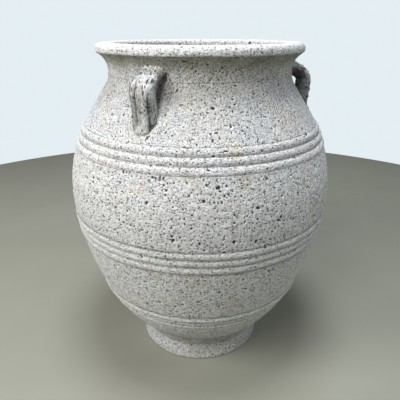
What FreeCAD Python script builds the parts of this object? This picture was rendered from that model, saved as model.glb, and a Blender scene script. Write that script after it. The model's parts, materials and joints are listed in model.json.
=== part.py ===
"""Large three-handled amphora, built the way a pot of this size is made.

The wall is stacked in stages on a base slab and a foot ring. Each stage meets the next on a
bevelled seam. A ridged band sits in a shallow channel over each of the three wall seams, and
three strap handles stand between the neck and the shoulder.

Frame: millimetres, +Z up, origin at the centre of the base, handle_1 towards -Y.
"""
import FreeCAD, Part
import math
import os

import Sketcher

# Driving dimensions, each one a cell of the sheet. Radii and heights of the wall are those of
# its outer surface.
DIMENSIONS = {
    "wall": 22.0,
    "bevel": 8.0,
    # base slab and foot ring
    "base_thickness": 28.0,
    "base_radius": 168.0,
    "foot_radius": 199.0,
    "foot_edge": 3.0,
    "foot_flare_radius": 193.5,
    "foot_flare_height": 28.0,
    "waist_radius": 191.5,
    "waist_height": 58.0,
    # lower wall, with a hollow curve out of the waist and then the start of the belly
    "heel_mid_radius": 199.5,
    "heel_mid_height": 82.0,
    "heel_radius": 215.0,
    "heel_height": 101.0,
    "lower_mid_radius": 262.5,
    "lower_mid_height": 152.0,
    "lower_inner_radius": 236.5,
    # bands: the wall's radius and height at each edge
    "lower_band_low_radius": 298.5,
    "lower_band_low_height": 212.0,
    "lower_band_high_radius": 320.5,
    "lower_band_high_height": 263.0,
    "middle_band_low_radius": 371.5,
    "middle_band_low_height": 437.0,
    "middle_band_high_radius": 380.0,
    "middle_band_high_height": 500.0,
    "upper_band_low_radius": 359.5,
    "upper_band_low_height": 683.0,
    "upper_band_high_radius": 332.5,
    "upper_band_high_height": 741.0,
    "band_depth": 6.0,
    "ridge_height": 4.0,
    "top_ridge_height": 5.0,
    "faint_ridge_height": 2.2,
    "groove_depth": 1.0,
    # middle of each wall stage between two bands
    "middle_wall_radius": 350.5,
    "middle_wall_height": 350.0,
    "belly_radius": 380.5,
    "belly_height": 590.0,
    # shoulder and neck
    "shoulder_mid_radius": 300.5,
    "shoulder_mid_height": 789.0,
    "shoulder_top_radius": 266.0,
    "shoulder_top_height": 841.0,
    "shoulder_turn_radius": 257.5,
    "shoulder_turn_height": 855.0,
    "neck_low_radius": 254.5,
    "neck_low_height": 869.0,
    "neck_mid_radius": 257.5,
    "neck_mid_height": 901.0,
    # rim
    "lip_low_radius": 279.0,
    "lip_low_height": 926.0,
    "lip_radius": 283.5,
    "lip_outer_round": 14.0,
    "lip_under_round": 5.0,
    "lip_inner_round": 7.0,
    "mouth_radius": 238.0,
    "total_height": 950.0,
    # handles: a strap swept up a leg that leans out a little, round a bend and in to the neck
    "handle_count": 3.0,
    "handle_foot_radius": 291.5,
    "handle_foot_height": 742.0,
    "handle_lean": 5.0,
    "handle_bend_radius": 26.5,
    "handle_root_radius": 226.0,
    "handle_root_height": 897.0,
    "handle_slope": 25.0,
    "strap_width": 60.0,
    "strap_thickness": 39.0,
    "strap_groove": 5.0,
    "strap_groove_aside": 13.0,
}

FULL_TURN = 360.0

# How far the middle of a quarter round lies in from each of its two sides, as a share of its radius
ROUND_MIDDLE = 1 - math.sqrt(0.5)

# Where each ridge ends, as a share of the way up its band
EQUAL_RIDGE_ENDS = (1 / 3, 2 / 3, 1.0)
LOWER_RIDGE_ENDS = (0.25, 0.62, 1.0)

# The strap's section, as shares of its half width, of its half thickness and of its groove
STRAP_CORNER = 0.85
GROOVE_EDGE = 0.16
BACK_CORNER = 0.65
FRONT_CORNER = 0.65
NARROW_ROLL = 0.88
GROOVE_EDGE_DEPTH = 0.75

# A sketch's own names for the points of an edge, its origin and its axes
LINE_START = 1
LINE_END = 2
CENTRE = 3
ORIGIN = (-1, 1)
AXIS_ACROSS = -1
AXIS_UP = -2


class Size:
    """A length with its value and the sheet expression that gives it."""

    def __init__(self, value, text):
        self.value = value
        self.text = text

    def __add__(self, other):
        return Size(self.value + other.value, f"({self.text} + {other.text})")

    def __sub__(self, other):
        return Size(self.value - other.value, f"({self.text} - {other.text})")

    def __mul__(self, factor):
        return Size(self.value * factor, f"({self.text} * {factor})")

    def __neg__(self):
        return Size(-self.value, f"(-{self.text})")


class Via:
    """The middle point of an arc between the corners before and after it."""

    def __init__(self, across, up):
        self.across = across
        self.up = up


def size(name):
    return Size(DIMENSIONS[name], f"Sizes.{name}")


def between(low, high, share):
    return low * (1.0 - share) + high * share


ZERO = Size(0.0, "0")


def make_sheet(doc):
    sheet = doc.addObject("Spreadsheet::Sheet", "Sizes")
    for row, (name, value) in enumerate(DIMENSIONS.items(), start=1):
        sheet.set(f"A{row}", name)
        sheet.set(f"B{row}", str(value))
        sheet.setAlias(f"B{row}", name)
    doc.recompute()


# ---------------------------------------------------------------- sketches


def origin_plane(body, role):
    return next(f for f in body.Origin.OriginFeatures if f.Role == role)


def new_sketch(body, name, role):
    sketch = body.newObject("Sketcher::SketchObject", name)
    sketch.AttachmentSupport = [(origin_plane(body, role), "")]
    sketch.MapMode = "FlatFace"
    return sketch


def vector(across, up):
    return FreeCAD.Vector(across.value, up.value, 0)


def bind(sketch, index, expression):
    sketch.setExpression(f"Constraints[{index}]", expression.text)


def hold_coordinate(sketch, kind, axis, place, coordinate):
    """Ties one coordinate of a sketch point to the sheet, measured from the sketch's origin."""
    if coordinate.value == 0.0:
        sketch.addConstraint(Sketcher.Constraint("PointOnObject", *place, axis))
        return
    ends = (*ORIGIN, *place)
    if coordinate.value < 0.0:
        ends = (*place, *ORIGIN)
        coordinate = -coordinate
    index = sketch.addConstraint(Sketcher.Constraint(kind, *ends, coordinate.value))
    bind(sketch, index, coordinate)


def hold_point(sketch, place, across, up):
    hold_coordinate(sketch, "DistanceX", AXIS_UP, place, across)
    hold_coordinate(sketch, "DistanceY", AXIS_ACROSS, place, up)


def end_near(sketch, edge, point):
    """Which end of a sketch edge lies at the point: arcs are stored anticlockwise."""
    first = sketch.getPoint(edge, LINE_START).distanceToPoint(point)
    last = sketch.getPoint(edge, LINE_END).distanceToPoint(point)
    return LINE_START if first < last else LINE_END


def draw_outline(sketch, points):
    """Draws a closed outline of lines and three-point arcs, every point bound to the sheet."""
    corners = [k for k, point in enumerate(points) if not isinstance(point, Via)]
    edges = []
    for k, start in enumerate(corners):
        end = corners[(k + 1) % len(corners)]
        first = vector(*points[start])
        last = vector(*points[end])
        middle = points[(start + 1) % len(points)]
        if isinstance(middle, Via):
            on_arc = vector(middle.across, middle.up)
            edge = sketch.addGeometry(Part.Arc(first, on_arc, last), False)
            mark = sketch.addGeometry(Part.Point(on_arc), True)
            hold_point(sketch, (mark, LINE_START), middle.across, middle.up)
            sketch.addConstraint(Sketcher.Constraint("PointOnObject", mark, LINE_START, edge))
        else:
            edge = sketch.addGeometry(Part.LineSegment(first, last), False)
        edges.append(edge)
    for k, start in enumerate(corners):
        corner = vector(*points[start])
        here = (edges[k], end_near(sketch, edges[k], corner))
        before = (edges[k - 1], end_near(sketch, edges[k - 1], corner))
        sketch.addConstraint(Sketcher.Constraint("Coincident", *before, *here))
        hold_point(sketch, here, *points[start])


# ---------------------------------------------------------------- turned pieces


def turned(doc, name, points):
    """A body turned once round the pot's axis from an outline of radii and heights."""
    body = doc.addObject("PartDesign::Body", name)
    sketch = new_sketch(body, f"{name}_outline", "XZ_Plane")
    draw_outline(sketch, points)
    turn = body.newObject("PartDesign::Revolution", f"{name}_turned")
    turn.Profile = (sketch, [""])
    turn.ReferenceAxis = (sketch, ["V_Axis"])
    turn.Angle = FULL_TURN
    return body


class Band:
    """Where a band lies on the wall, and the seam between wall stages behind it."""

    def __init__(self, name):
        self.low = (size(f"{name}_low_radius"), size(f"{name}_low_height"))
        self.high = (size(f"{name}_high_radius"), size(f"{name}_high_height"))

    def on_wall(self, share):
        """A point on the wall's surface, a share of the way up the band."""
        return tuple(between(low, high, share) for low, high in zip(self.low, self.high))

    def channel(self, share):
        radius, height = self.on_wall(share)
        return radius - size("band_depth"), height

    def seam(self):
        return self.channel(0.5)

    def inner_seam(self):
        radius, height = self.on_wall(0.5)
        return radius - size("wall"), height + size("bevel")


LOWER = Band("lower_band")
MIDDLE = Band("middle_band")
UPPER = Band("upper_band")


def band_outline(band, ridges):
    """A band in its channel. Each ridge ends at a share of the band and stands out by a height."""
    points = [band.channel(0.0), band.low]
    start = 0.0
    for share, height in ridges:
        radius, level = band.on_wall((start + share) / 2)
        points.append(Via(radius + height, level))
        if share < 1.0:
            groove_radius, groove_level = band.on_wall(share)
            points.append((groove_radius - size("groove_depth"), groove_level))
        start = share
    points += [band.high, band.channel(1.0)]
    return points


def make_bands(doc):
    ridge = size("ridge_height")
    faint = size("faint_ridge_height")
    equal_ridges = [(end, ridge) for end in EQUAL_RIDGE_ENDS]
    lower_ridges = list(zip(LOWER_RIDGE_ENDS, (faint, faint, size("top_ridge_height"))))
    return [
        turned(doc, "lower_band", band_outline(LOWER, lower_ridges)),
        turned(doc, "middle_band", band_outline(MIDDLE, equal_ridges)),
        turned(doc, "upper_band", band_outline(UPPER, equal_ridges)),
    ]


def make_base_disc(doc):
    body = doc.addObject("PartDesign::Body", "base_disc")
    sketch = new_sketch(body, "base_disc_outline", "XY_Plane")
    circle = Part.Circle(FreeCAD.Vector(), FreeCAD.Vector(0, 0, 1), size("base_radius").value)
    edge = sketch.addGeometry(circle, False)
    sketch.addConstraint(Sketcher.Constraint("Coincident", edge, CENTRE, *ORIGIN))
    index = sketch.addConstraint(Sketcher.Constraint("Radius", edge, size("base_radius").value))
    bind(sketch, index, size("base_radius"))
    pad = body.newObject("PartDesign::Pad", "base_disc_slab")
    pad.Profile = (sketch, [""])
    pad.setExpression("Length", size("base_thickness").text)
    return body


def make_foot_ring(doc):
    foot = size("foot_radius")
    edge = size("foot_edge")
    inner = size("base_radius")
    waist_height = size("waist_height")
    return turned(doc, "foot_ring", [
        (inner, ZERO),
        (foot - edge, ZERO),
        Via(foot - edge * ROUND_MIDDLE, edge * ROUND_MIDDLE),
        (foot, edge),
        Via(size("foot_flare_radius"), size("foot_flare_height")),
        (size("waist_radius"), waist_height),
        (inner, waist_height + size("bevel")),
    ])


def make_lower_wall(doc):
    return turned(doc, "lower_wall", [
        (size("base_radius"), size("waist_height") + size("bevel")),
        (size("waist_radius"), size("waist_height")),
        Via(size("heel_mid_radius"), size("heel_mid_height")),
        (size("heel_radius"), size("heel_height")),
        Via(size("lower_mid_radius"), size("lower_mid_height")),
        LOWER.low,
        LOWER.channel(0.0),
        LOWER.seam(),
        LOWER.inner_seam(),
        Via(size("lower_inner_radius"), size("lower_mid_height")),
    ])


def wall_stage(doc, name, below, above, radius, height):
    """A wall stage between the seams of two bands, its outer curve through a middle point."""
    return turned(doc, name, [
        below.inner_seam(),
        below.seam(),
        below.channel(1.0),
        below.high,
        Via(radius, height),
        above.low,
        above.channel(0.0),
        above.seam(),
        above.inner_seam(),
        Via(radius - size("wall"), height),
    ])


def shoulder_curve():
    """The shoulder's outer surface, from the upper band to the foot of the neck."""
    return [
        UPPER.high,
        Via(size("shoulder_mid_radius"), size("shoulder_mid_height")),
        (size("shoulder_top_radius"), size("shoulder_top_height")),
        Via(size("shoulder_turn_radius"), size("shoulder_turn_height")),
        (size("neck_low_radius"), size("neck_low_height")),
    ]


def neck_curve():
    """The neck's outer surface, from its foot to the underside of the lip."""
    return [
        (size("neck_low_radius"), size("neck_low_height")),
        Via(size("neck_mid_radius"), size("neck_mid_height")),
        (size("lip_low_radius"), size("lip_low_height")),
    ]


def make_shoulder(doc):
    wall = size("wall")
    return turned(doc, "shoulder", [
        UPPER.inner_seam(),
        UPPER.seam(),
        UPPER.channel(1.0),
        *shoulder_curve(),
        (size("neck_low_radius") - wall, size("neck_low_height") + size("bevel")),
        Via(size("shoulder_turn_radius") - wall, size("shoulder_turn_height")),
        (size("shoulder_top_radius") - wall, size("shoulder_top_height")),
        Via(size("shoulder_mid_radius") - wall, size("shoulder_mid_height")),
    ])


def make_neck(doc):
    wall = size("wall")
    return turned(doc, "neck", [
        (size("neck_low_radius") - wall, size("neck_low_height") + size("bevel")),
        *neck_curve(),
        (size("mouth_radius"), size("lip_low_height")),
        Via(size("neck_mid_radius") - wall, size("neck_mid_height")),
    ])


def make_rim(doc):
    lip = size("lip_radius")
    low = size("lip_low_height")
    top = size("total_height")
    mouth = size("mouth_radius")
    outer_round = size("lip_outer_round")
    under_round = size("lip_under_round")
    inner_round = size("lip_inner_round")
    return turned(doc, "rim", [
        (mouth, low),
        (size("lip_low_radius"), low),
        Via(lip - under_round * ROUND_MIDDLE, low + under_round * ROUND_MIDDLE),
        (lip, low + under_round),
        (lip, top - outer_round),
        Via(lip - outer_round * ROUND_MIDDLE, top - outer_round * ROUND_MIDDLE),
        (lip - outer_round, top),
        (mouth + inner_round, top),
        Via(mouth + inner_round * ROUND_MIDDLE, top - inner_round * ROUND_MIDDLE),
        (mouth, top - inner_round),
    ])


# ---------------------------------------------------------------- handles


def draw_handle_path(sketch):
    """Up the leg, round the bend and in along a slope that rises towards the neck."""
    foot = (size("handle_foot_radius"), size("handle_foot_height"))
    root = (size("handle_root_radius"), size("handle_root_height"))
    bend = size("handle_bend_radius")
    lean = math.radians(DIMENSIONS["handle_lean"])
    slope = math.radians(DIMENSIONS["handle_slope"])
    turn = math.pi / 2 + lean - slope
    start = vector(*foot)
    up_leg = FreeCAD.Vector(math.sin(lean), math.cos(lean), 0)
    out_of_leg = FreeCAD.Vector(math.cos(lean), -math.sin(lean), 0)
    across = foot[0].value - root[0].value
    rise = root[1].value - foot[1].value - across * math.tan(slope)
    leg_length = rise / (math.cos(lean) + math.sin(lean) * math.tan(slope))
    bend_start = start + up_leg * (leg_length - bend.value * math.tan(turn / 2))
    centre = bend_start - out_of_leg * bend.value

    def on_bend(angle):
        return centre + (out_of_leg * math.cos(angle) + up_leg * math.sin(angle)) * bend.value

    bend_middle = on_bend(turn / 2)
    bend_end = on_bend(turn)
    leg_edge = sketch.addGeometry(Part.LineSegment(start, bend_start), False)
    bend_edge = sketch.addGeometry(Part.Arc(bend_start, bend_middle, bend_end), False)
    root_edge = sketch.addGeometry(Part.LineSegment(bend_end, vector(*root)), False)
    joints = (
        (leg_edge, LINE_END, bend_edge, end_near(sketch, bend_edge, bend_start)),
        (bend_edge, end_near(sketch, bend_edge, bend_end), root_edge, LINE_START),
    )
    for joint in joints:
        sketch.addConstraint(Sketcher.Constraint("Tangent", *joint))
    hold_point(sketch, (leg_edge, LINE_START), *foot)
    hold_point(sketch, (root_edge, LINE_END), *root)
    radius = sketch.addConstraint(Sketcher.Constraint("Radius", bend_edge, bend.value))
    bind(sketch, radius, bend)
    angles = (
        (leg_edge, math.pi / 2 - lean, "(90 - Sizes.handle_lean) * 1 deg"),
        (root_edge, math.pi - slope, "(180 - Sizes.handle_slope) * 1 deg"),
    )
    for edge, angle, text in angles:
        number = sketch.addConstraint(Sketcher.Constraint("Angle", edge, angle))
        sketch.setExpression(f"Constraints[{number}]", text)


def strap_outline():
    """The strap's section: a rounded back, and a narrow and a broad roll with a groove between."""
    centre = size("handle_foot_radius")
    half_width = size("strap_width") * 0.5
    half = size("strap_thickness") * 0.5
    corner = half_width * STRAP_CORNER
    groove = -size("strap_groove_aside")
    groove_start = groove - half_width * GROOVE_EDGE
    groove_end = groove + half_width * GROOVE_EDGE
    back = centre - half * BACK_CORNER
    front = centre + half * FRONT_CORNER
    groove_side = centre + half - size("strap_groove") * GROOVE_EDGE_DEPTH
    return [
        (back, -corner),
        Via(centre, -half_width),
        (front, -corner),
        Via(centre + half * NARROW_ROLL, between(-corner, groove_start, 0.5)),
        (groove_side, groove_start),
        Via(centre + half - size("strap_groove"), groove),
        (groove_side, groove_end),
        Via(centre + half, between(groove_end, corner, 0.5)),
        (front, corner),
        Via(centre, half_width),
        (back, corner),
        Via(centre - half, ZERO),
    ]


def make_handle(doc, number):
    """A strap handle, cut back to the outer surface of the shoulder and the neck."""
    name = f"handle_{number}"
    body = doc.addObject("PartDesign::Body", name)
    path = new_sketch(body, f"{name}_path", "XZ_Plane")
    draw_handle_path(path)
    section = new_sketch(body, f"{name}_section", "XY_Plane")
    section.setExpression("AttachmentOffset.Base.z", size("handle_foot_height").text)
    draw_outline(section, strap_outline())
    doc.recompute()
    strap = body.newObject("PartDesign::AdditivePipe", f"{name}_strap")
    strap.Profile = (section, [""])
    strap.Spine = (path, ["Edge1", "Edge2", "Edge3"])
    doc.recompute()
    pot = new_sketch(body, f"{name}_pot", "XZ_Plane")
    low = UPPER.high[1] - size("wall")
    draw_outline(pot, [
        (ZERO, low),
        (UPPER.high[0], low),
        *shoulder_curve(),
        *neck_curve()[1:],
        (ZERO, size("lip_low_height")),
    ])
    trim = body.newObject("PartDesign::Groove", f"{name}_seat")
    trim.Profile = (pot, [""])
    trim.ReferenceAxis = (pot, ["V_Axis"])
    trim.Angle = FULL_TURN
    step = FULL_TURN / DIMENSIONS["handle_count"]
    turn = FreeCAD.Rotation(FreeCAD.Vector(0, 0, 1), (number - 1) * step - FULL_TURN / 4)
    body.Placement = FreeCAD.Placement(FreeCAD.Vector(), turn)
    return body


# ---------------------------------------------------------------- the pot


def make_pot(doc):
    pieces = [
        make_base_disc(doc),
        make_foot_ring(doc),
        make_lower_wall(doc),
        wall_stage(doc, "middle_wall", LOWER, MIDDLE,
                   size("middle_wall_radius"), size("middle_wall_height")),
        wall_stage(doc, "belly_wall", MIDDLE, UPPER, size("belly_radius"), size("belly_height")),
        make_shoulder(doc),
        make_neck(doc),
        make_rim(doc),
        *make_bands(doc),
    ]
    for number in range(1, int(DIMENSIONS["handle_count"]) + 1):
        pieces.append(make_handle(doc, number))
    doc.recompute()
    return pieces


def check(doc, pieces):
    """Stops if a feature failed, a sketch is loose, or a piece isn't one valid solid."""
    for thing in doc.Objects:
        if "Invalid" in thing.State or "Error" in thing.State:
            raise RuntimeError(f"{thing.Label} failed to compute: {thing.State}")
        if thing.isDerivedFrom("Sketcher::SketchObject") and not thing.FullyConstrained:
            raise RuntimeError(f"{thing.Label} isn't fully constrained")
    for piece in pieces:
        shape = piece.Shape
        if shape.isNull() or not shape.isValid() or len(shape.Solids) != 1:
            raise RuntimeError(f"{piece.Label} isn't one valid solid")


def export(pieces):
    os.makedirs("parts", exist_ok=True)
    for piece in pieces:
        piece.Shape.exportStep(os.path.join("parts", f"{piece.Label}.step"))
        box = piece.Shape.optimalBoundingBox()
        litres = piece.Shape.Volume / 1e6
        print(f"{piece.Label}: z {box.ZMin:.1f} to {box.ZMax:.1f}, width {box.XLength:.1f}, "
              f"volume {litres:.2f} l")


def main():
    doc = FreeCAD.newDocument("Amphora")
    make_sheet(doc)
    pieces = make_pot(doc)
    check(doc, pieces)
    export(pieces)


main()
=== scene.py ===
"""Looks of the three-handled amphora: pale, pitted, weathered stoneware.

Every turned piece is rebuilt from the outline of its CAD node, fine enough to carry real pits. The
pieces share one skin: an outline that runs from the middle of the base out and up the wall, over
the lip and down inside to the floor. Neighbours take their edges from it, so they meet without a
step. Lengths are in metres.
"""

import json
import math

import bpy
import numpy as np
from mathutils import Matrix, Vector


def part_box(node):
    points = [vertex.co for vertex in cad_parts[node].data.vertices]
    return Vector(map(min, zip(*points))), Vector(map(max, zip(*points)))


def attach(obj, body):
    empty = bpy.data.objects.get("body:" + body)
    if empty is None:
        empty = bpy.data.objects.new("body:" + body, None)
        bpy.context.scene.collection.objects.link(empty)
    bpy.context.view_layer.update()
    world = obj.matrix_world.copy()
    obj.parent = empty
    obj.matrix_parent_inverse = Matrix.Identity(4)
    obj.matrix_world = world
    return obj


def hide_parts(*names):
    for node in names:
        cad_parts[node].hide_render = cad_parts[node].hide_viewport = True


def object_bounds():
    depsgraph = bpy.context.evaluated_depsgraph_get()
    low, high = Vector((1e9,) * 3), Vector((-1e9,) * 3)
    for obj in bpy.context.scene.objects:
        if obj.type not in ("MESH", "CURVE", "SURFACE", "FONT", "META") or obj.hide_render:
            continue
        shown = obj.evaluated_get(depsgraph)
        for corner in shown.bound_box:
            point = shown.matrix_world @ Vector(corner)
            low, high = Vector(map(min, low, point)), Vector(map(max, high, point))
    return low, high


MM = 0.001

TURNED = [
    "base_disc", "foot_ring", "lower_wall", "lower_band", "middle_wall", "middle_band",
    "belly_wall", "upper_band", "shoulder", "neck", "rim",
]
HANDLES = {"handle_1": -90.0, "handle_2": 30.0, "handle_3": 150.0}

COLUMNS = 960

# The base disc: its columns, its rows below and inside, and the radius of its middle fans
BASE_COLUMNS = 240
UNDERSIDE_ROWS = 60
INSIDE_ROWS = 40
BASE_CENTRE = 4 * MM

# What counts as lying in the outline's plane, and as touching a neighbour
HAIR = 0.002 * MM
SEAM_GAP = 0.3 * MM

# Distance between rows of vertices up the outside, and along hidden and inner faces
FINE_ROWS = ["lower_band", "middle_band", "upper_band", "rim"]
FINE_ROW = 1.7 * MM
WALL_ROW = 2.5 * MM
INNER_ROW = 10 * MM

# How much painted shade the outside gets, by share of the height: on the neck under the rim and towards
# the bottom, and how much more where it looks down
PAINTED_SHADE_HEIGHTS = [0.0, 0.25, 0.5, 0.84, 0.89, 0.93, 0.975, 0.98]
PAINTED_SHADES = [0.09, 0.03, 0.0, 0.0, 0.12, 0.22, 0.26, 0.0]
UNDER_PAINTED_SHADES = [0.2, 0.1, 0.0, 0.0, 0.1, 0.2, 0.3, 0.0]

# How pale the stone is made, by share of the height: partly its own paleness, partly painted light and
# shade that keeps the shoulder and neck darker and the rim fully pale
PALE_AND_LIT_HEIGHTS = [0.0, 0.2, 0.3, 0.5, 0.66, 0.75, 0.82, 0.9, 0.97, 0.98]
PALE_AND_LIT = [0.4, 1.0, 1.0, 1.0, 1.0, 0.4, 0.0, 0.0, 0.1, 1.0]

# How strongly ridges and grooves show in the stone, by share of the height: as pale crests, as painted
# shade in the grooves and in how shallow the pits on crests are
RELIEF_HEIGHTS = [0.0, 0.35, 0.42, 0.6, 0.68, 1.0]
RELIEFS = [1.7, 1.7, 1.8, 1.8, 0.55, 0.55]

# How much longer than tall the pits are
STRETCH = {"lower_band": 1.5, "middle_band": 1.5, "upper_band": 1.5, "rim": 1.3}


# ---------------------------------------------------------------- the skin


def outline(name):
    """A turned node's outline in its seam, as points of radius and height in order round it."""
    if name == "base_disc":
        low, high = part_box(name)
        return np.array([(0, low.z), (high.x, low.z), (high.x, high.z), (0, high.z)])
    mesh = frame["nodes"][name].data
    places = {}
    for vertex in mesh.vertices:
        if abs(vertex.co.y) < HAIR and vertex.co.x > 0:
            places[vertex.index] = (round(vertex.co.x, 6), round(vertex.co.z, 6))
    links = {}
    for edge in mesh.edges:
        first, last = (places.get(v) for v in edge.vertices)
        if first and last and first != last:
            links.setdefault(first, set()).add(last)
            links.setdefault(last, set()).add(first)
    path = [min(links)]
    while len(path) < len(links):
        path.append(next(p for p in sorted(links[path[-1]]) if p not in path))
    return np.array(path)


def along(point, starts, ends):
    """How far a point lies from each segment, and its share of the way along each."""
    step = ends - starts
    share = ((point - starts) * step).sum(1) / (step * step).sum(1)
    share = share.clip(0, 1)
    return np.linalg.norm(point - starts - step * share[:, None], axis=1), share


def split_loops(loops):
    """Adds to each outline the corners of its neighbours that lie on it."""
    split = {}
    for name, loop in loops.items():
        others = np.vstack([other for key, other in loops.items() if key != name])
        ends = np.roll(loop, -1, axis=0)
        extra = [[] for _ in loop]
        for point in others:
            gap, share = along(point, loop, ends)
            length = np.linalg.norm(ends - loop, axis=1)
            inside = (gap < SEAM_GAP) & (share * length > 2 * SEAM_GAP)
            inside &= (1 - share) * length > 2 * SEAM_GAP
            for k in np.flatnonzero(inside):
                extra[k].append((share[k], tuple(point)))
        points = []
        for k, start in enumerate(loop):
            points.append(tuple(start))
            points += [place for _, place in sorted(set(extra[k]))]
        split[name] = np.array(points)
    return split


def exposed(loops):
    """For each outline, which of its segments touch no neighbour and don't lie on the axis."""
    shown = {}
    for name, loop in loops.items():
        others = [other for key, other in loops.items() if key != name]
        starts = np.vstack(others)
        ends = np.vstack([np.roll(other, -1, axis=0) for other in others])
        middle = (loop + np.roll(loop, -1, axis=0)) / 2
        shown[name] = np.array([
            along(point, starts, ends)[0].min() > SEAM_GAP and point[0] > SEAM_GAP
            for point in middle
        ])
    return shown


def chain(loops, shown):
    """The exposed segments of all outlines in one path, from the base's middle to the floor's."""
    steps = {}
    for name, loop in loops.items():
        for k in np.flatnonzero(shown[name]):
            a, b = (tuple(loop[i % len(loop)].round(5)) for i in (k, k + 1))
            steps.setdefault(a, []).append((b, name))
            steps.setdefault(b, []).append((a, name))
    here = min(steps)
    path, owners = [here], []
    while True:
        onward = [(p, name) for p, name in steps[here] if len(path) < 2 or p != path[-2]]
        if not onward:
            return np.array(path), owners
        here, owner = onward[0]
        path.append(here)
        owners.append(owner)


def smooth_step(value):
    """Eases from 0 to 1 as the value goes from 0 to 1."""
    value = value.clip(0, 1)
    return value * value * (3 - 2 * value)


def smooth(values, width, step):
    """A line of values run through a bell curve, its ends held."""
    reach = int(math.ceil(3 * width / step))
    bell = np.exp(-0.5 * (np.arange(-reach, reach + 1) * step / width) ** 2)
    held = np.concatenate([
        2 * values[:1] - values[reach:0:-1], values, 2 * values[-1:] - values[-2:-reach - 2:-1],
    ])
    return np.stack([np.convolve(c, bell / bell.sum(), "valid") for c in held.T], axis=1)


class Skin:
    """The pot's whole exposed outline, read by the distance along it."""

    STEP = 0.5 * MM

    def __init__(self, loops, shown):
        path, owners = chain(loops, shown)
        self.marks = np.concatenate([[0], np.linalg.norm(np.diff(path, axis=0), axis=1).cumsum()])
        self.corners = {tuple(p.round(5)): s for p, s in zip(path, self.marks)}
        self.owners = owners
        self.at = np.arange(0, self.marks[-1] + self.STEP, self.STEP).clip(0, self.marks[-1])
        raw = np.stack([np.interp(self.at, self.marks, c) for c in path.T], axis=1)
        crisp = smooth(raw, 0.8 * MM, self.STEP)
        wall = self.share_of([name for name in TURNED if name not in FINE_ROWS])[:, None]
        lip = self.share_of(["rim"])[:, None]
        self.place = crisp * (1 - wall - lip)
        self.place += smooth(raw, 5 * MM, self.STEP) * wall + smooth(raw, 3 * MM, self.STEP) * lip
        self.place[:, 0] = self.place[:, 0].clip(0)
        run = smooth(np.gradient(self.place, axis=0), 1.5 * MM, self.STEP)
        run /= np.linalg.norm(run, axis=1)[:, None]
        self.out = np.stack([run[:, 1], -run[:, 0]], axis=1)
        broad = smooth(raw, 7 * MM, self.STEP)
        rise = self.place[:, 1]
        strength = np.interp(rise / rise.max(), RELIEF_HEIGHTS, RELIEFS)
        self.relief = (((crisp - broad) * self.out).sum(1) / MM * strength)[:, None]
        mouth = self.at[np.flatnonzero(rise > rise.max() - 2 * MM)[-1]]
        self.inside = smooth_step((self.at - mouth - 30 * MM) / (60 * MM))[:, None]
        # Painted shade: on the neck under the rim, towards the bottom, and more where the wall looks
        # down
        downward = smooth_step((-self.out[:, 1] - 0.15) / 0.45)
        shade_and_stain = np.interp(rise / rise.max(), PAINTED_SHADE_HEIGHTS, PAINTED_SHADES)
        shade_and_stain += np.interp(rise / rise.max(), PAINTED_SHADE_HEIGHTS, UNDER_PAINTED_SHADES) * downward
        self.shade_and_stain = (shade_and_stain * (self.at < mouth))[:, None]
        # Paleness by height, partly the stone's own and partly painted light and shade; inside the mouth
        # it is fully pale, as painted light
        pale_and_lit = np.interp(rise / rise.max(), PALE_AND_LIT_HEIGHTS, PALE_AND_LIT)
        self.pale_and_lit = np.where(self.at < mouth, pale_and_lit, 1.0)[:, None]

    def share_of(self, names):
        """1 well inside the named pieces, easing to 0 where they meet the others."""
        own = np.array([name in names for name in self.owners]) * 1.0
        own = own[np.searchsorted(self.marks, self.at, "right").clip(1, len(own)) - 1]
        return smooth(own[:, None], 4 * MM, self.STEP)[:, 0] ** 3

    def read(self, s):
        """Place, way out, relief in mm, inside, painted shade and stain, and paleness that is partly
        painted light, at distances along the skin.
        """
        table = np.hstack([
            self.place, self.out, self.relief, self.inside, self.shade_and_stain, self.pale_and_lit,
        ])
        return np.stack([np.interp(s, self.at, c) for c in table.T], axis=-1)


# ---------------------------------------------------------------- meshes


def stretches(loop, shown):
    """An outline cut into turns of exposed and hidden segments, each with its points."""
    count = len(loop)
    first = next(k for k in range(count) if shown[k] and not shown[k - 1])
    runs = []
    for step in range(count):
        k = (first + step) % count
        if not runs or runs[-1][0] != shown[k]:
            runs.append((shown[k], [loop[k]]))
        runs[-1][1].append(loop[(k + 1) % count])
    return runs


def rows_of(name, loop, shown):
    """The rows of a turned piece, in order round its outline, and the bounds of each stretch."""
    rows, cuts = [], []
    for is_shown, points in stretches(loop, shown):
        start, end = (tuple(np.round(p, 5)) for p in (points[0], points[-1]))
        if is_shown:
            a, b = skin.corners[start], skin.corners[end]
            inside = skin.read((a + b) / 2)[5] > 0.5
            outer_row = FINE_ROW if name in FINE_ROWS else WALL_ROW
            step = INNER_ROW if inside else outer_row
            count = max(2, round(abs(b - a) / step))
            part = skin.read(np.linspace(a, b, count + 1)[:-1])
        else:
            count = len(points) - 1
            ends = skin.read(np.array([skin.corners[start]]))
            part = np.array([(*p, 0, 0, 0, 0, 0, 0) for p in points[:-1]])
            part[0] = ends[0]
        cuts.append((is_shown, len(rows), count))
        rows += list(part)
    return np.array(rows), cuts


def make_mesh(name, points, faces, hidden, uvs, marks):
    """A mesh, flat where it is hidden, with its unwrapping and the marks it is weathered by."""
    mesh = bpy.data.meshes.new(name)
    mesh.from_pydata(points, [], faces)
    mesh.shade_smooth()
    flat = mesh.attributes.new("sharp_face", "BOOLEAN", "FACE")
    flat.data.foreach_set("value", hidden)
    layer = mesh.uv_layers.new(name="OFBake")
    layer.uv.foreach_set("vector", np.asarray(uvs, np.float32).ravel())
    for key, values in marks.items():
        kind, field = ("FLOAT", "value") if values.ndim == 1 else ("FLOAT_VECTOR", "vector")
        data = mesh.attributes.new(key, kind, "POINT").data
        data.foreach_set(field, values.astype(np.float32).ravel())
    piece = bpy.data.objects.new(name, mesh)
    bpy.context.scene.collection.objects.link(piece)
    return piece


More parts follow.
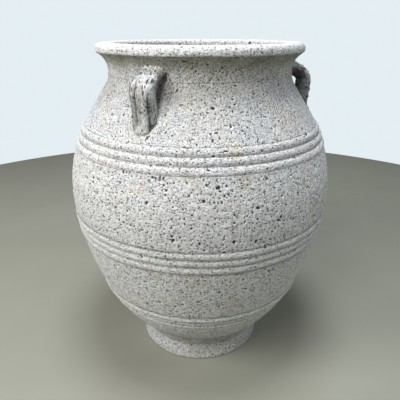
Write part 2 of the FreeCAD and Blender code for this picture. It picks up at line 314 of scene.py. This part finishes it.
def unwrap(cuts, rows, columns, width):
    """Corner places on the map for a ring: its sectors stacked, the outside given most room."""
    heights = {}
    for is_shown, start, count in cuts:
        part = rows[np.arange(start, start + count + 1) % len(rows)]
        length = np.linalg.norm(np.diff(part[:, :2], axis=0), axis=1).sum()
        weight = 1.0 if part[count // 2, 5] < 0.5 else 0.3
        heights[start] = length * weight if is_shown else 0.02 * length
    total = sum(heights.values())
    sectors = max(1, min(8, round(math.sqrt(width / total))))
    margin = 0.004
    uvs = np.zeros((len(rows), columns, 4, 2))
    room = (1 - margin * sectors * len(cuts)) / sectors / total
    base = 0.0
    for sector in range(sectors):
        low, high = (round(columns * k / sectors) for k in (sector, sector + 1))
        across = (np.arange(low, high + 1) - low) / (high - low)
        for _, start, count in cuts:
            up = base + heights[start] * room * np.arange(count + 1) / count
            for k in range(count):
                cell = uvs[start + k, low:high]
                cell[:, 0] = np.stack([across[:-1], np.full(high - low, up[k])], axis=1)
                cell[:, 1] = np.stack([across[1:], np.full(high - low, up[k])], axis=1)
                cell[:, 2] = np.stack([across[1:], np.full(high - low, up[k + 1])], axis=1)
                cell[:, 3] = np.stack([across[:-1], np.full(high - low, up[k + 1])], axis=1)
            base = up[-1] + margin
    return uvs


def turn(rows, columns):
    """Points, outward pushes and round-the-axis directions of rows turned about the axis."""
    angle = 2 * math.pi * np.arange(columns) / columns
    way = np.stack([np.cos(angle), np.sin(angle), 0 * angle], axis=1)[None]
    up = np.array([0, 0, 1.0])[None, None]
    points = way * rows[:, 0, None, None] + up * rows[:, 1, None, None]
    push = way * rows[:, 2, None, None] + up * rows[:, 3, None, None]
    return points, push, way


def ring_faces(count, columns, closed=True):
    """Four-cornered faces between rows of points that each run once round."""
    i = np.arange(count if closed else count - 1)[:, None]
    j = np.arange(columns)[None]
    after = (i + 1) % count
    beside = (j + 1) % columns
    corners = [i * columns + j, i * columns + beside, after * columns + beside, after * columns + j]
    return np.stack(corners, axis=-1).reshape(-1, 4)


def capped_faces(count, columns):
    """Open rings of faces with a fan at each end, to two middle points that follow the rows."""
    faces = ring_faces(count, columns, closed=False).tolist()
    last = (count - 1) * columns
    for j in range(columns):
        beside = (j + 1) % columns
        faces.append((beside, j, count * columns))
        faces.append((last + j, last + beside, count * columns + 1))
    return faces


def turned_piece(name):
    """A ring of the pot's wall, a band or the rim, from its outline."""
    rows, cuts = rows_of(name, loops[name], shown[name])
    points, push, way = turn(rows, COLUMNS)
    stretch = STRETCH.get(name, 1.0)
    mid = rows[:, 0].max()
    wide = mid + (rows[:, 0] - mid) * stretch
    grain = way * wide[:, None, None] + np.array([0, 0, 1.0]) * (rows[:, 1] * stretch)[:, None, None]
    uvs = unwrap(cuts, rows, COLUMNS, 2 * math.pi * mid)
    marks = {
        "grain": grain.reshape(-1, 3),
        "push": push.reshape(-1, 3),
        "relief": np.repeat(rows[:, 4], COLUMNS),
        "inside": np.repeat(rows[:, 5], COLUMNS),
        # Painted shade, and paleness that is partly painted light
        "shade_and_stain": np.repeat(rows[:, 6], COLUMNS),
        "pale_and_lit": np.repeat(rows[:, 7], COLUMNS),
    }
    faces = ring_faces(len(rows), COLUMNS).tolist()
    hidden = np.zeros((len(rows), COLUMNS), bool)
    for is_shown, start, count in cuts:
        hidden[start:start + count] = not is_shown
    points = points.reshape(-1, 3)
    return make_mesh(f"{name}_stone", points, faces, hidden.ravel(), uvs, marks)


def base_piece(name):
    """The slab: two faces run in to the axis, and the hidden edge between them."""
    low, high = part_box(name)
    radius = high.x
    under, over = (skin.corners[(round(radius, 5), round(z, 5))] for z in (low.z, high.z))
    end = skin.marks[-1]
    down = skin.read(np.linspace(BASE_CENTRE, under, UNDERSIDE_ROWS))
    up = skin.read(np.linspace(over, end - BASE_CENTRE, INSIDE_ROWS))
    rows = np.vstack([down, up])
    points, push, _ = turn(rows, BASE_COLUMNS)
    points = np.vstack([points.reshape(-1, 3), (0, 0, low.z), (0, 0, high.z)])
    push = np.vstack([push.reshape(-1, 3), (0, 0, 0), (0, 0, 0)])
    faces = capped_faces(len(rows), BASE_COLUMNS)
    flat = points[:, :2] / (2 * radius) * 0.49
    side = np.concatenate([np.repeat([0.25] * len(down) + [0.75] * len(up), BASE_COLUMNS), [0.25, 0.75]])
    corners = np.stack([flat[:, 0] + side, flat[:, 1] + 0.5], axis=1)
    uvs = np.vstack([corners[list(face)] for face in faces])
    marks = {
        "grain": points.copy(),
        "push": push,
        "relief": np.append(np.repeat(rows[:, 4], BASE_COLUMNS), [0, 0]),
        "inside": np.append(np.repeat(rows[:, 5], BASE_COLUMNS), [0, 1]),
        # Painted shade, and paleness that is partly painted light
        "shade_and_stain": np.append(np.repeat(rows[:, 6], BASE_COLUMNS), [0, 0]),
        "pale_and_lit": np.append(np.repeat(rows[:, 7], BASE_COLUMNS), [0, 0]),
    }
    hidden = np.zeros(len(faces), bool)
    hidden[(len(down) - 1) * BASE_COLUMNS:len(down) * BASE_COLUMNS] = True
    return make_mesh(f"{name}_stone", points, faces, hidden, uvs, marks)


# ---------------------------------------------------------------- handles


class Strap:
    """A handle's middle line, up a leg, round a bend and in to the neck, in its own plane."""

    THICKNESS = 36 * MM
    BEND = 28 * MM
    LEAN = math.radians(5)
    SLOPE = math.radians(25)
    CENTRE_DROP = 58.0 * MM
    OVERRUN = 40 * MM
    INWARD = 50 * MM

    def __init__(self, outer, top, foot):
        """The bend's centre follows from how far out and how high the handle reaches."""
        self.centre = np.array([outer - self.THICKNESS / 2 - self.BEND, top - self.CENTRE_DROP])
        self.rise = self.centre[1] - foot + self.OVERRUN
        self.arc = self.BEND * (math.pi / 2 + self.LEAN - self.SLOPE)
        self.length = self.rise + self.arc + self.INWARD

    def read(self, s):
        """Places and outward directions, as radius and height, at distances along the strap."""
        angle = ((s - self.rise).clip(0, self.arc) / self.BEND) - self.LEAN
        out = np.stack([np.cos(angle), np.sin(angle)], axis=1)
        ahead = np.stack([-np.sin(angle), np.cos(angle)], axis=1)
        place = self.centre + out * self.BEND
        place += ahead * (s - self.rise).clip(None, 0)[:, None]
        place += ahead * (s - self.rise - self.arc).clip(0)[:, None]
        return place, out


def section(around, width, thickness):
    """The strap's outline, without its grooves: an oval with its corners a little filled out."""
    across = np.cos(around)
    through = np.sin(around)
    x = width / 2 * np.sign(across) * np.abs(across) ** 0.76
    y = thickness / 2 * np.sign(through) * np.abs(through) ** 0.76
    return x, y


def rise_and_fall(share, start, full, wane, end):
    """0 up to start, 1 from full to wane, and 0 again from end."""
    return smooth_step((share - start) / (full - start)) * smooth_step((end - share) / (end - wane))


def hump(x, middle, width):
    """1 at the middle, falling off to nothing about two widths away."""
    return np.exp(-((x - middle) / width) ** 2)


def strap_marks(share, x, y, half):
    """How deep the strap is cut, in metres, and how much painted shade it gets, partly stain on its
    flank, along and round it.
    """
    front = smooth_step(y / half * 2)
    groove = hump(x, -13 * MM, 3.2 * MM) * front * rise_and_fall(share, 0.08, 0.25, 0.6, 0.85)
    edge = smooth_step((-14 * MM - x) / (4 * MM)) * rise_and_fall(share, 0.05, 0.2, 0.5, 0.7)
    channel = hump(x, -2 * MM, 6 * MM) * front * rise_and_fall(share, 0.12, 0.25, 0.4, 0.55)
    faint = hump(x, 3 * MM, 3 * MM) * front * rise_and_fall(share, 0.4, 0.55, 0.65, 0.85)
    crease = hump(x, 21 * MM, 4 * MM) * front * rise_and_fall(share, 0.03, 0.12, 0.45, 0.65)
    flank = smooth_step((1 - y / half) / 0.35)
    loop = smooth_step((0.4 - y / half) / 0.4) * rise_and_fall(share, 0.45, 0.6, 1.2, 1.4)
    cut = (3.8 * groove + 1.8 * channel + 1.2 * faint + 2.4 * crease) * MM
    # Painted shade in the groove, the channel, the faint groove and the crease, and on the shaded left
    # roll
    shade_and_stain = 0.85 * groove + 0.32 * edge + 0.45 * channel + 0.3 * faint + 0.85 * crease
    # Painted shadow round the tongue at the low end, painted shade in the loop, and on the flank partly
    # stain and partly painted shade
    tip = smooth_step((0.16 - share) / 0.08) * (0.2 + 0.4 * smooth_step(np.abs(x) / (18 * MM) - 0.3))
    shade_and_stain += 0.3 * flank + 0.55 * loop + tip
    return cut, shade_and_stain.clip(0, 1.1)


# The handles stand on the skin above this height, and further than this from the axis
HANDLE_ZONE = 0.68
OFF_AXIS = 0.2

# How far under the skin a handle's ends stop, and how much further under the front of the low end
END_DEPTH = 6 * MM
TONGUE_DEPTH = 8 * MM

HANDLE_ROWS = 150
HANDLE_COLUMNS = 120


def off_wall(points):
    """How far places lie outside the pot's outer skin, less than 0 inside it, and the way out."""
    top = skin.place[:, 1].argmax()
    line = skin.place[:top]
    out = skin.out[:top]
    use = (line[:, 1] > HANDLE_ZONE) & (line[:, 0] > OFF_AXIS)
    line, out = line[use], out[use]
    radius = np.hypot(points[:, 0], points[:, 1])
    flat = np.stack([radius, points[:, 2]], axis=1)
    gaps = np.zeros(len(flat))
    ways = np.zeros((len(flat), 2))
    for k in range(0, len(flat), 2000):
        away = flat[k:k + 2000, None] - line[None]
        near = (away ** 2).sum(2).argmin(1)
        picked = np.arange(len(near))
        gaps[k:k + 2000] = (away[picked, near] * out[near]).sum(1)
        ways[k:k + 2000] = out[near]
    radial = points[:, :2] / radius[:, None]
    return gaps, np.hstack([radial * ways[:, :1], ways[:, 1:]])


def strap_span(place_at, length, x, y, dome):
    """For each line along the strap, where it leaves the pot's wall and where it enters again."""
    tries = np.linspace(0, length, 240)
    starts, ends = np.zeros(len(x)), np.zeros(len(x))
    for j in range(len(x)):
        path = place_at(tries, np.full(len(tries), x[j]), np.full(len(tries), y[j]))
        gap, _ = off_wall(path)
        starts[j] = tries[np.flatnonzero(gap > -END_DEPTH - TONGUE_DEPTH * dome[j])[0]]
        ends[j] = tries[np.flatnonzero(gap > -END_DEPTH)[-1]]
    return starts, ends


def flare_at(gap, share):
    """How much wider the strap grows where it nears the wall, a little more at its high end."""
    most = (2 + 2 * share) * MM
    return most * (1 - (gap.clip(0) / (20 * MM)).clip(0, 1)) ** 2


def smear(points, near_end):
    """Pushes the front of the low end out on the wall, as a rounded tongue."""
    gap, way = off_wall(points)
    short = (20 * np.sqrt(near_end) - 14) * MM - gap
    lift = (short + np.sqrt(short ** 2 + (3 * MM) ** 2)) / 2
    return points + way * (lift * np.minimum(1, 4 * near_end))[:, None]


def way_out(grid):
    """The direction out of a strap at each of its points."""
    run = np.gradient(grid, axis=0)
    round_it = np.roll(grid, -1, axis=1) - np.roll(grid, 1, axis=1)
    out = np.cross(round_it, run)
    return out / np.linalg.norm(out, axis=2)[:, :, None]


def unwrap_strap(rows, columns):
    """Corner places on the map for a strap: its length runs across, with its end fans on top."""
    u = np.arange(rows)[:, None, None] + np.array([0, 0, 1, 1])[None, None]
    v = np.arange(columns)[None, :, None] + np.array([0, 1, 1, 0])[None, None]
    sides = np.stack(np.broadcast_arrays(u[:-1] / (rows - 1), v / columns * 0.97), axis=-1)
    caps = np.tile([(0.0, 0.985), (0.02, 0.985), (0.01, 0.999)], (2 * columns, 1))
    return np.vstack([sides.reshape(-1, 2), caps])


def handle_piece(name, azimuth):
    """A strap whose ends are smeared out on the pot and stop inside its wall."""
    low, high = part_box("handle_1")
    strap = Strap(-low.y, high.z, low.z)
    rows, columns = HANDLE_ROWS, HANDLE_COLUMNS
    half_width, half = high.x, strap.THICKNESS / 2
    x, y = section(2 * math.pi * np.arange(columns) / columns, 2 * half_width, 2 * half)
    turn_to = math.radians(azimuth)
    radial = np.array([math.cos(turn_to), math.sin(turn_to), 0])
    sideways = np.array([-math.sin(turn_to), math.cos(turn_to), 0])
    upward = np.array([0, 0, 1.0])

    def place_at(s, x, y):
        place, out = strap.read(s)
        flat = place + out * y[:, None]
        return flat[:, :1] * radial + x[:, None] * sideways + flat[:, 1:] * upward

    front = smooth_step(y / half * 2)
    dome = front * (1 - (x / half_width) ** 2)
    starts, ends = strap_span(place_at, strap.length, x, y, dome)
    share = np.linspace(0, 1, rows)[:, None]
    s = (starts * (1 - share) + ends * share).ravel()
    wide_x, wide_y = np.tile(x, rows), np.tile(y, rows)
    gap, _ = off_wall(place_at(s, wide_x, wide_y))
    cut, shade_and_stain = (part.ravel() for part in strap_marks(share, x, y, half))
    spread = 1 + (flare_at(gap, np.repeat(share, columns)) - cut) / np.hypot(wide_x, wide_y)
    near_end = (dome * rise_and_fall(share, 0.0, 0.07, 0.3, 0.5)).ravel()
    points = smear(place_at(s, wide_x * spread, wide_y * spread), near_end)
    push = way_out(points.reshape(rows, columns, 3))
    lengthwise = s.reshape(rows, columns) / 1.7
    grain = np.stack([lengthwise, np.tile(x, (rows, 1)), np.tile(y, (rows, 1))], axis=2)
    grain += np.array([azimuth, 3.0, 7.0])
    edge = (np.abs(wide_x) / half_width) ** 6 * (wide_y > 0)
    marks = {
        "grain": np.vstack([grain.reshape(-1, 3), grain[0, :2]]),
        "push": np.vstack([push.reshape(-1, 3), np.zeros((2, 3))]),
        "relief": np.append(edge * 0.6 - cut / (4 * MM), [0, 0]),
        "inside": np.zeros(len(points) + 2),
        # Painted shade, on the flank partly stain
        "shade_and_stain": np.append(shade_and_stain, [0, 0]),
        "pale_and_lit": np.full(len(points) + 2, 0.1),
    }
    points = np.vstack([points, points[:columns].mean(0), points[-columns:].mean(0)])
    faces = capped_faces(rows, columns)
    hidden = np.arange(len(faces)) >= (rows - 1) * columns
    uvs = unwrap_strap(rows, columns)
    return make_mesh(f"{name}_stone", points, faces, hidden, uvs, marks)


# ---------------------------------------------------------------- stone


class Graph:
    """Adds nodes to a tree. The same calls serve a material and a geometry modifier."""

    def __init__(self, tree):
        self.tree = tree

    def node(self, kind, inputs=(), **settings):
        node = self.tree.nodes.new(kind)
        for name, value in settings.items():
            setattr(node, name, value)
        for slot, value in dict(inputs).items():
            if isinstance(value, bpy.types.NodeSocket):
                self.tree.links.new(value, node.inputs[slot])
            else:
                node.inputs[slot].default_value = value
        return node

    def math(self, operation, a, b=0.0):
        return self.node("ShaderNodeMath", {0: a, 1: b}, operation=operation).outputs[0]

    def add(self, a, b):
        return self.math("ADD", a, b)

    def times(self, a, b):
        return self.math("MULTIPLY", a, b)

    def total(self, *parts):
        result = parts[0]
        for part in parts[1:]:
            result = self.add(result, part)
        return result

    def ramp(self, value, start, end, low=0.0, high=1.0):
        """Eases from low to high as the value goes from start to end."""
        inputs = {"Value": value, "From Min": start, "From Max": end, "To Min": low, "To Max": high}
        return self.node("ShaderNodeMapRange", inputs, interpolation_type="SMOOTHSTEP").outputs[0]

    def vector(self, operation, a, b):
        return self.node("ShaderNodeVectorMath", {0: a, 1: b}, operation=operation)

    def scaled(self, a, factor):
        node = self.node("ShaderNodeVectorMath", {0: a, "Scale": factor}, operation="SCALE")
        return node.outputs[0]

    def noise(self, coords, size, detail=2.0, rough=0.5):
        """Soft noise round 0.5, its lumps a size across, and three of it as a vector."""
        inputs = {"Vector": coords, "Scale": 1 / size, "Detail": detail, "Roughness": rough}
        node = self.node("ShaderNodeTexNoise", inputs)
        return node.outputs[0], node.outputs[1]

    def warped(self, coords, size, amount):
        """Coordinates pushed about by noise, to make what follows them irregular."""
        swirl = self.vector("SUBTRACT", self.noise(coords, size, 2)[1], (0.5, 0.5, 0.5)).outputs[0]
        return self.vector("ADD", coords, self.scaled(swirl, amount)).outputs[0]

    def pits(self, coords, cell, share, small, large, floor=0.6):
        """Pits in a share of the cells: how far in from the edge, 0 to 1, how near its brink on
        the outside, and a random number for each."""
        node = self.node("ShaderNodeTexVoronoi", {"Vector": coords, "Scale": 1 / cell})
        distance, chance = node.outputs[0], node.outputs[1]
        pick = self.vector("DOT_PRODUCT", chance, (1, 0, 0)).outputs["Value"]
        tint = self.vector("DOT_PRODUCT", chance, (0, 1, 0)).outputs["Value"]
        inputs = {"Value": pick, "From Min": 1 - share, "From Max": 1.0,
                  "To Min": small / cell, "To Max": large / cell}
        radius = self.node("ShaderNodeMapRange", inputs).outputs[0]
        there = self.math("GREATER_THAN", pick, 1 - share)
        depth = self.times(self.ramp(distance, radius, self.times(radius, floor)), there)
        near = self.times(self.ramp(distance, self.times(radius, 1.8), radius), there)
        return depth, self.math("SUBTRACT", near, depth), tint

    def mix(self, share, a, b):
        """Colour a at share 0, colour b at share 1."""
        node = self.node("ShaderNodeMix", {0: share, 6: a, 7: b}, data_type="RGBA", blend_type="MIX")
        return node.outputs[2]


def weathering(graph, rest, grain, relief):
    """The stone's pits and swells, shared by its shape and its colour. Heights are in metres."""
    crest = graph.ramp(relief, 0.3, 1.6)
    keep = graph.ramp(crest, 0.0, 1.0, 1.0, 0.8)
    bent = graph.warped(graph.warped(grain, 18 * MM, 9 * MM), 4.5 * MM, 4.2 * MM)

    # Pits of three sizes: their spacing, the share of places that has one, and their radii
    large, large_brink, large_tint = graph.pits(bent, 21 * MM, 0.3, 3.0 * MM, 6.2 * MM)
    middle, middle_brink, middle_tint = graph.pits(bent, 8.5 * MM, 0.75, 1.5 * MM, 3.6 * MM)
    small, small_brink, _ = graph.pits(bent, 5.4 * MM, 0.8, 1.1 * MM, 2.5 * MM)

    # Worn crests keep shallower pits
    large = graph.times(large, keep)
    middle = graph.times(middle, keep)
    small = graph.times(small, keep)
    swell, _ = graph.noise(rest, 110 * MM, 1.0)
    lumps, _ = graph.noise(rest, 14 * MM, 2.0)
    height = graph.total(
        graph.times(large, -2.6 * MM),
        graph.times(middle, -1.9 * MM),
        graph.times(small, -0.9 * MM),
        graph.times(graph.add(swell, -0.5), 3.5 * MM),
        graph.times(graph.add(lumps, -0.5), 2.4 * MM),
    )
    return {
        "large": large, "large_tint": large_tint, "middle": middle, "middle_tint": middle_tint,
        "small": small, "height": height, "crest": crest, "bent": bent,
        "brink": graph.total(large_brink, middle_brink, graph.times(small_brink, 0.6)),
    }


def weathered_shape():
    """The modifier that carves the weathering into a piece, along the push mark of its points."""
    tree = bpy.data.node_groups.new("Weathered_shape", "GeometryNodeTree")
    tree.interface.new_socket("Geometry", in_out="INPUT", socket_type="NodeSocketGeometry")
    tree.interface.new_socket("Geometry", in_out="OUTPUT", socket_type="NodeSocketGeometry")
    graph = Graph(tree)

    def mark(name, kind):
        return graph.node("GeometryNodeInputNamedAttribute", {"Name": name}, data_type=kind).outputs[0]

    rest = graph.node("GeometryNodeInputPosition").outputs[0]
    stone = weathering(graph, rest, mark("grain", "FLOAT_VECTOR"), mark("relief", "FLOAT"))
    offset = graph.scaled(mark("push", "FLOAT_VECTOR"), stone["height"])
    begin = graph.node("NodeGroupInput")
    kept = graph.node("GeometryNodeStoreNamedAttribute",
                      {"Geometry": begin.outputs[0], "Name": "rest"}, data_type="FLOAT_VECTOR")
    tree.links.new(rest, kept.inputs["Value"])
    moved = graph.node("GeometryNodeSetPosition", {"Geometry": kept.outputs[0], "Offset": offset})
    end = graph.node("NodeGroupOutput")
    tree.links.new(moved.outputs[0], end.inputs[0])
    return tree


def weather(piece, tree):
    """Carves the weathering into the piece's own mesh, so that no modifier is left on it."""
    carve = piece.modifiers.new("Weathering", "NODES")
    carve.node_group = tree
    seen = bpy.context.evaluated_depsgraph_get()
    plain = piece.data
    done = bpy.data.meshes.new_from_object(
        piece.evaluated_get(seen), preserve_all_data_layers=True, depsgraph=seen)
    name = plain.name
    piece.modifiers.clear()
    piece.data = done
    bpy.data.meshes.remove(plain)
    done.name = name


def press_level(piece, ground):
    """Presses level whatever dips below the ground, as clay does under the pot's own weight."""
    points = np.empty(3 * len(piece.data.vertices), np.float32)
    piece.data.vertices.foreach_get("co", points)
    points[2::3] = points[2::3].clip(ground, None)
    piece.data.vertices.foreach_set("co", points)
    piece.data.update()


def shade(level, warmth=0.0):
    """A grey of an sRGB level from 0 to 255, warmed towards cream or cooled towards blue."""
    values = [level * (1 + warmth), level, level * (1 - 1.3 * warmth)]
    return (*[(v / 255) ** 2.2 for v in values], 1.0)


# The colours of painted shade, partly stain on the handles' flanks: thin on the wall and on the handles,
# and thick
OLIVE = (0.25, 0.24, 0.145, 1.0)
SLATE = (0.215, 0.23, 0.215, 1.0)
DEEP_SHADE = (0.05, 0.05, 0.045, 1.0)


def stone_material(name, tone, hollow_shade, thin_shade):
    """Pale weathered stoneware. Tone scales its lightness; the next two set how dark the painted shade
    in its hollows is and the colour of its thin painted shade, partly stain on the handles' flanks."""
    material = bpy.data.materials.new(name)
    material.use_nodes = True
    tree = material.node_tree
    tree.nodes.clear()
    graph = Graph(tree)

    def mark(key, slot):
        return graph.node("ShaderNodeAttribute", attribute_name=key).outputs[slot]

    rest = mark("rest", "Vector")
    grain = mark("grain", "Vector")
    relief = mark("relief", "Fac")
    inside = mark("inside", "Fac")
    shade_and_stain = mark("shade_and_stain", "Fac")
    pale_and_lit = mark("pale_and_lit", "Fac")
    stone = weathering(graph, rest, grain, relief)

    # The ground: cloudy tones, paleness by height that is partly painted light, and a little rust
    broad, _ = graph.noise(rest, 170 * MM, 3.0, 0.6)
    patch, _ = graph.noise(rest, 45 * MM, 4.0, 0.65)
    speck, _ = graph.noise(grain, 3.9 * MM, 2.0, 0.6)
    dust, _ = graph.noise(grain, 8 * MM, 3.0, 0.65)
    colour = graph.mix(graph.ramp(broad, 0.38, 0.62), shade(191 * tone, -0.02), shade(199 * tone, 0.015))
    colour = graph.mix(graph.ramp(patch, 0.42, 0.75), colour, shade(216 * tone, 0.0))
    rust, _ = graph.noise(graph.warped(rest, 30 * MM, 20 * MM), 75 * MM, 3.0, 0.6)
    # Paleness, partly painted light and shade by height
    colour = graph.mix(graph.times(pale_and_lit, 0.7), colour, shade(248, 0.0))
    colour = graph.mix(graph.ramp(rust, 0.55, 0.72, 0.0, 0.6), colour, shade(198 * tone, 0.1))
    colour = graph.mix(graph.ramp(dust, 0.48, 0.62, 0.0, 0.5), colour, shade(170 * tone, 0.0))
    colour = graph.mix(graph.ramp(speck, 0.48, 0.36, 0.0, 0.6), colour, shade(125 * tone, 0.0))
    colour = graph.mix(graph.ramp(speck, 0.52, 0.63, 0.0, 0.5), colour, shade(248, 0.0))

    # Pits, from the finest up, their dark colours partly dirt and partly painted shade, with worn
    # crests, painted shade in hollows and pale brinks
    fine, _, _ = graph.pits(stone["bent"], 4.4 * MM, 0.5, 0.6 * MM, 1.3 * MM)
    colour = graph.mix(graph.times(fine, 0.8), colour, shade(104, 0.02))
    colour = graph.mix(graph.times(stone["crest"], 0.45), colour, shade(240, 0.0))
    # Painted shade in the hollows between ridges and in the handles' grooves
    hollow = graph.ramp(relief, -0.2, -1.1)
    colour = graph.mix(graph.times(hollow, hollow_shade), colour, shade(120, 0.03))
    colour = graph.mix(graph.times(stone["brink"], 0.45), colour, shade(248, 0.0))
    colour = graph.mix(graph.times(stone["small"], 0.9), colour, shade(84, 0.01))
    dark = graph.mix(graph.ramp(stone["middle_tint"], 0.75, 0.85), shade(68, -0.02), shade(112, 0.08))
    colour = graph.mix(graph.times(stone["middle"], 0.93), colour, dark)
    deep = graph.mix(graph.ramp(stone["large_tint"], 0.6, 0.7), shade(56, -0.05), shade(98, 0.08))
    colour = graph.mix(graph.times(stone["large"], 0.93), colour, deep)

    # Painted shade, thin and then thick, partly stain on the handles' flanks
    # The amount of painted shade and stain, broken up by patches
    smear = graph.times(shade_and_stain, graph.ramp(patch, 0.3, 0.7, 1.2, 0.75))
    colour = graph.mix(graph.ramp(smear, 0.0, 0.6, 0.0, 0.6), colour, thin_shade)
    colour = graph.mix(graph.ramp(smear, 0.45, 1.0, 0.0, 0.85), colour, DEEP_SHADE)
    # Painted shade deeper inside the pot
    colour = graph.mix(graph.times(inside, 0.45), colour, shade(120, 0.04))

    bump_height = graph.total(
        graph.times(stone["middle"], -0.8 * MM),
        graph.times(stone["small"], -0.9 * MM),
        graph.times(fine, -0.6 * MM),
        graph.times(graph.add(speck, -0.5), 2.3 * MM),
        graph.times(graph.add(dust, -0.5), 2.2 * MM),
    )
    bump = graph.node("ShaderNodeBump", {"Height": bump_height, "Distance": 1.0, "Strength": 1.0})
    rough = graph.ramp(speck, 0.3, 0.7, 0.95, 0.82)
    surface = graph.node("ShaderNodeBsdfPrincipled", {
        "Base Color": colour, "Roughness": rough, "Specular IOR Level": 0.25,
        "Normal": bump.outputs[0],
    })
    end = graph.node("ShaderNodeOutputMaterial")
    tree.links.new(surface.outputs[0], end.inputs[0])
    return material


# ---------------------------------------------------------------- studio


# The floor's two shades, and its size
FLOOR_DARK = (0.305, 0.305, 0.25, 1)
FLOOR_LIGHT = (0.36, 0.36, 0.305, 1)
FLOOR_RADIUS = 2.4
FLOOR_CORNERS = 180

# The lamps: how far round to the left of the camera and how high they stand, in degrees, watts
# and colour
WHITE = (1.0, 0.985, 0.96)
COOL = (0.92, 0.97, 1.0)
LAMPS = {
    "key": (60, 35, 57, WHITE),
    "front": (25, 42, 29, WHITE),
    "top": (0, 85, 71, COOL),
    "right": (-75, 38, 20, COOL),
}
LAMP_DISTANCE = 3.2
LAMP_SIZE = 1.2

# The camera: how far it swings round to the right in degrees, how far from the axis and how high
# it stands in pot heights, and its lens in mm
CAMERA_SWING = 25
CAMERA_AWAY = 1.2505
CAMERA_UP = 1.0358
CAMERA_LENS = 36.1

# The pale surround: its colour, and how strongly it lights and is seen
SURROUND = (0.86, 0.95, 1, 1)
SURROUND_LIGHT = 0.1
SURROUND_SEEN = 0.9


def make_floor():
    """A round plain floor; the pale surround beyond its edge is made with the studio."""
    mesh = bpy.data.meshes.new("studio_floor")
    angles = [2 * math.pi * k / FLOOR_CORNERS for k in range(FLOOR_CORNERS)]
    corners = [(FLOOR_RADIUS * math.cos(a), FLOOR_RADIUS * math.sin(a), 0) for a in angles]
    mesh.from_pydata(corners, [], [list(range(FLOOR_CORNERS))])
    floor = bpy.data.objects.new("studio_floor", mesh)
    bpy.context.scene.collection.objects.link(floor)
    material = bpy.data.materials.new("studio_floor")
    material.use_nodes = True
    graph = Graph(material.node_tree)
    surface = material.node_tree.nodes["Principled BSDF"]
    coords = graph.node("ShaderNodeNewGeometry").outputs["Position"]
    cloud, _ = graph.noise(coords, 0.35, 4.0, 0.6)
    colour = graph.mix(cloud, FLOOR_DARK, FLOOR_LIGHT)
    material.node_tree.links.new(colour, surface.inputs["Base Color"])
    surface.inputs["Roughness"].default_value = 0.75
    mesh.materials.append(material)


def make_light(name, place, target, power, colour):
    """A round lamp that faces the target."""
    lamp = bpy.data.lights.new(name, "AREA")
    lamp.shape = "DISK"
    lamp.size = LAMP_SIZE
    lamp.energy = power
    lamp.color = colour
    light = bpy.data.objects.new(name, lamp)
    bpy.context.scene.collection.objects.link(light)
    light.location = place
    light.rotation_euler = (target - place).to_track_quat("-Z", "Y").to_euler()


def make_studio(height):
    """The floor, the camera, soft lamps and a pale surround."""
    make_floor()
    swing = math.radians(CAMERA_SWING)
    back = Vector((math.sin(swing), -math.cos(swing), 0))
    right = Vector((math.cos(swing), math.sin(swing), 0))
    middle = Vector((0, 0, height / 2))
    camera = bpy.data.objects.new("camera", bpy.data.cameras.new("camera"))
    bpy.context.scene.collection.objects.link(camera)
    camera.location = back * CAMERA_AWAY * height + Vector((0, 0, CAMERA_UP * height))
    camera.rotation_euler = (middle - camera.location).to_track_quat("-Z", "Y").to_euler()
    camera.data.lens = CAMERA_LENS
    bpy.context.scene.camera = camera
    for name, (left, rise, power, colour) in LAMPS.items():
        side = back * math.cos(math.radians(left)) - right * math.sin(math.radians(left))
        rise = math.radians(rise)
        way = side * math.cos(rise) + Vector((0, 0, math.sin(rise)))
        make_light(name, middle + way * LAMP_DISTANCE, middle, power, colour)
    world = bpy.data.worlds.new("studio")
    world.use_nodes = True
    bpy.context.scene.world = world
    graph = Graph(world.node_tree)
    sky = world.node_tree.nodes["Background"]
    seen = graph.node("ShaderNodeLightPath").outputs["Is Camera Ray"]
    strength = graph.ramp(seen, 0.0, 1.0, SURROUND_LIGHT, SURROUND_SEEN)
    graph.tree.links.new(strength, sky.inputs["Strength"])
    sky.inputs["Color"].default_value = SURROUND
    bpy.context.scene.view_settings.view_transform = "Standard"


# ---------------------------------------------------------------- the pot


def slot_of(name):
    """The material slot that the record gives a node."""
    parts = frame["record"]["subparts"]
    return next(p["material_slot"] for p in parts if p["node"] == name)


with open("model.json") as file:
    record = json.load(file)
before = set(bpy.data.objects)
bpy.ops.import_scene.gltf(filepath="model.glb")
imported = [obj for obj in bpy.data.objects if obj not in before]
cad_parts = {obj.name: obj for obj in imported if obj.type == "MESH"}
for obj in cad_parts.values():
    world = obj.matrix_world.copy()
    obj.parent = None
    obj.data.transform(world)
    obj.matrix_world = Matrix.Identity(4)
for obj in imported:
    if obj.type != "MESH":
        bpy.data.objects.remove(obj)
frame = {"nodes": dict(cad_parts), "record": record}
cad_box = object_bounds()

loops = split_loops({name: outline(name) for name in TURNED})
shown = exposed(loops)
skin = Skin(loops, shown)

shape = weathered_shape()
stones = {
    "wall_stone": stone_material("wall_stone", 1.0, 0.55, OLIVE),
    "band_stone": stone_material("band_stone", 1.04, 0.5, OLIVE),
    "handle_stone": stone_material("handle_stone", 0.91, 0.5, SLATE),
}

pieces = {"base_disc": base_piece("base_disc")}
for name in TURNED[1:]:
    pieces[name] = turned_piece(name)
for name, azimuth in HANDLES.items():
    pieces[name] = handle_piece(name, azimuth)
for name, piece in pieces.items():
    weather(piece, shape)
    press_level(piece, cad_box[0].z)
    piece.data.materials.append(stones[slot_of(name)])
    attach(piece, "root")
    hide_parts(name)

make_studio(cad_box[1].z)
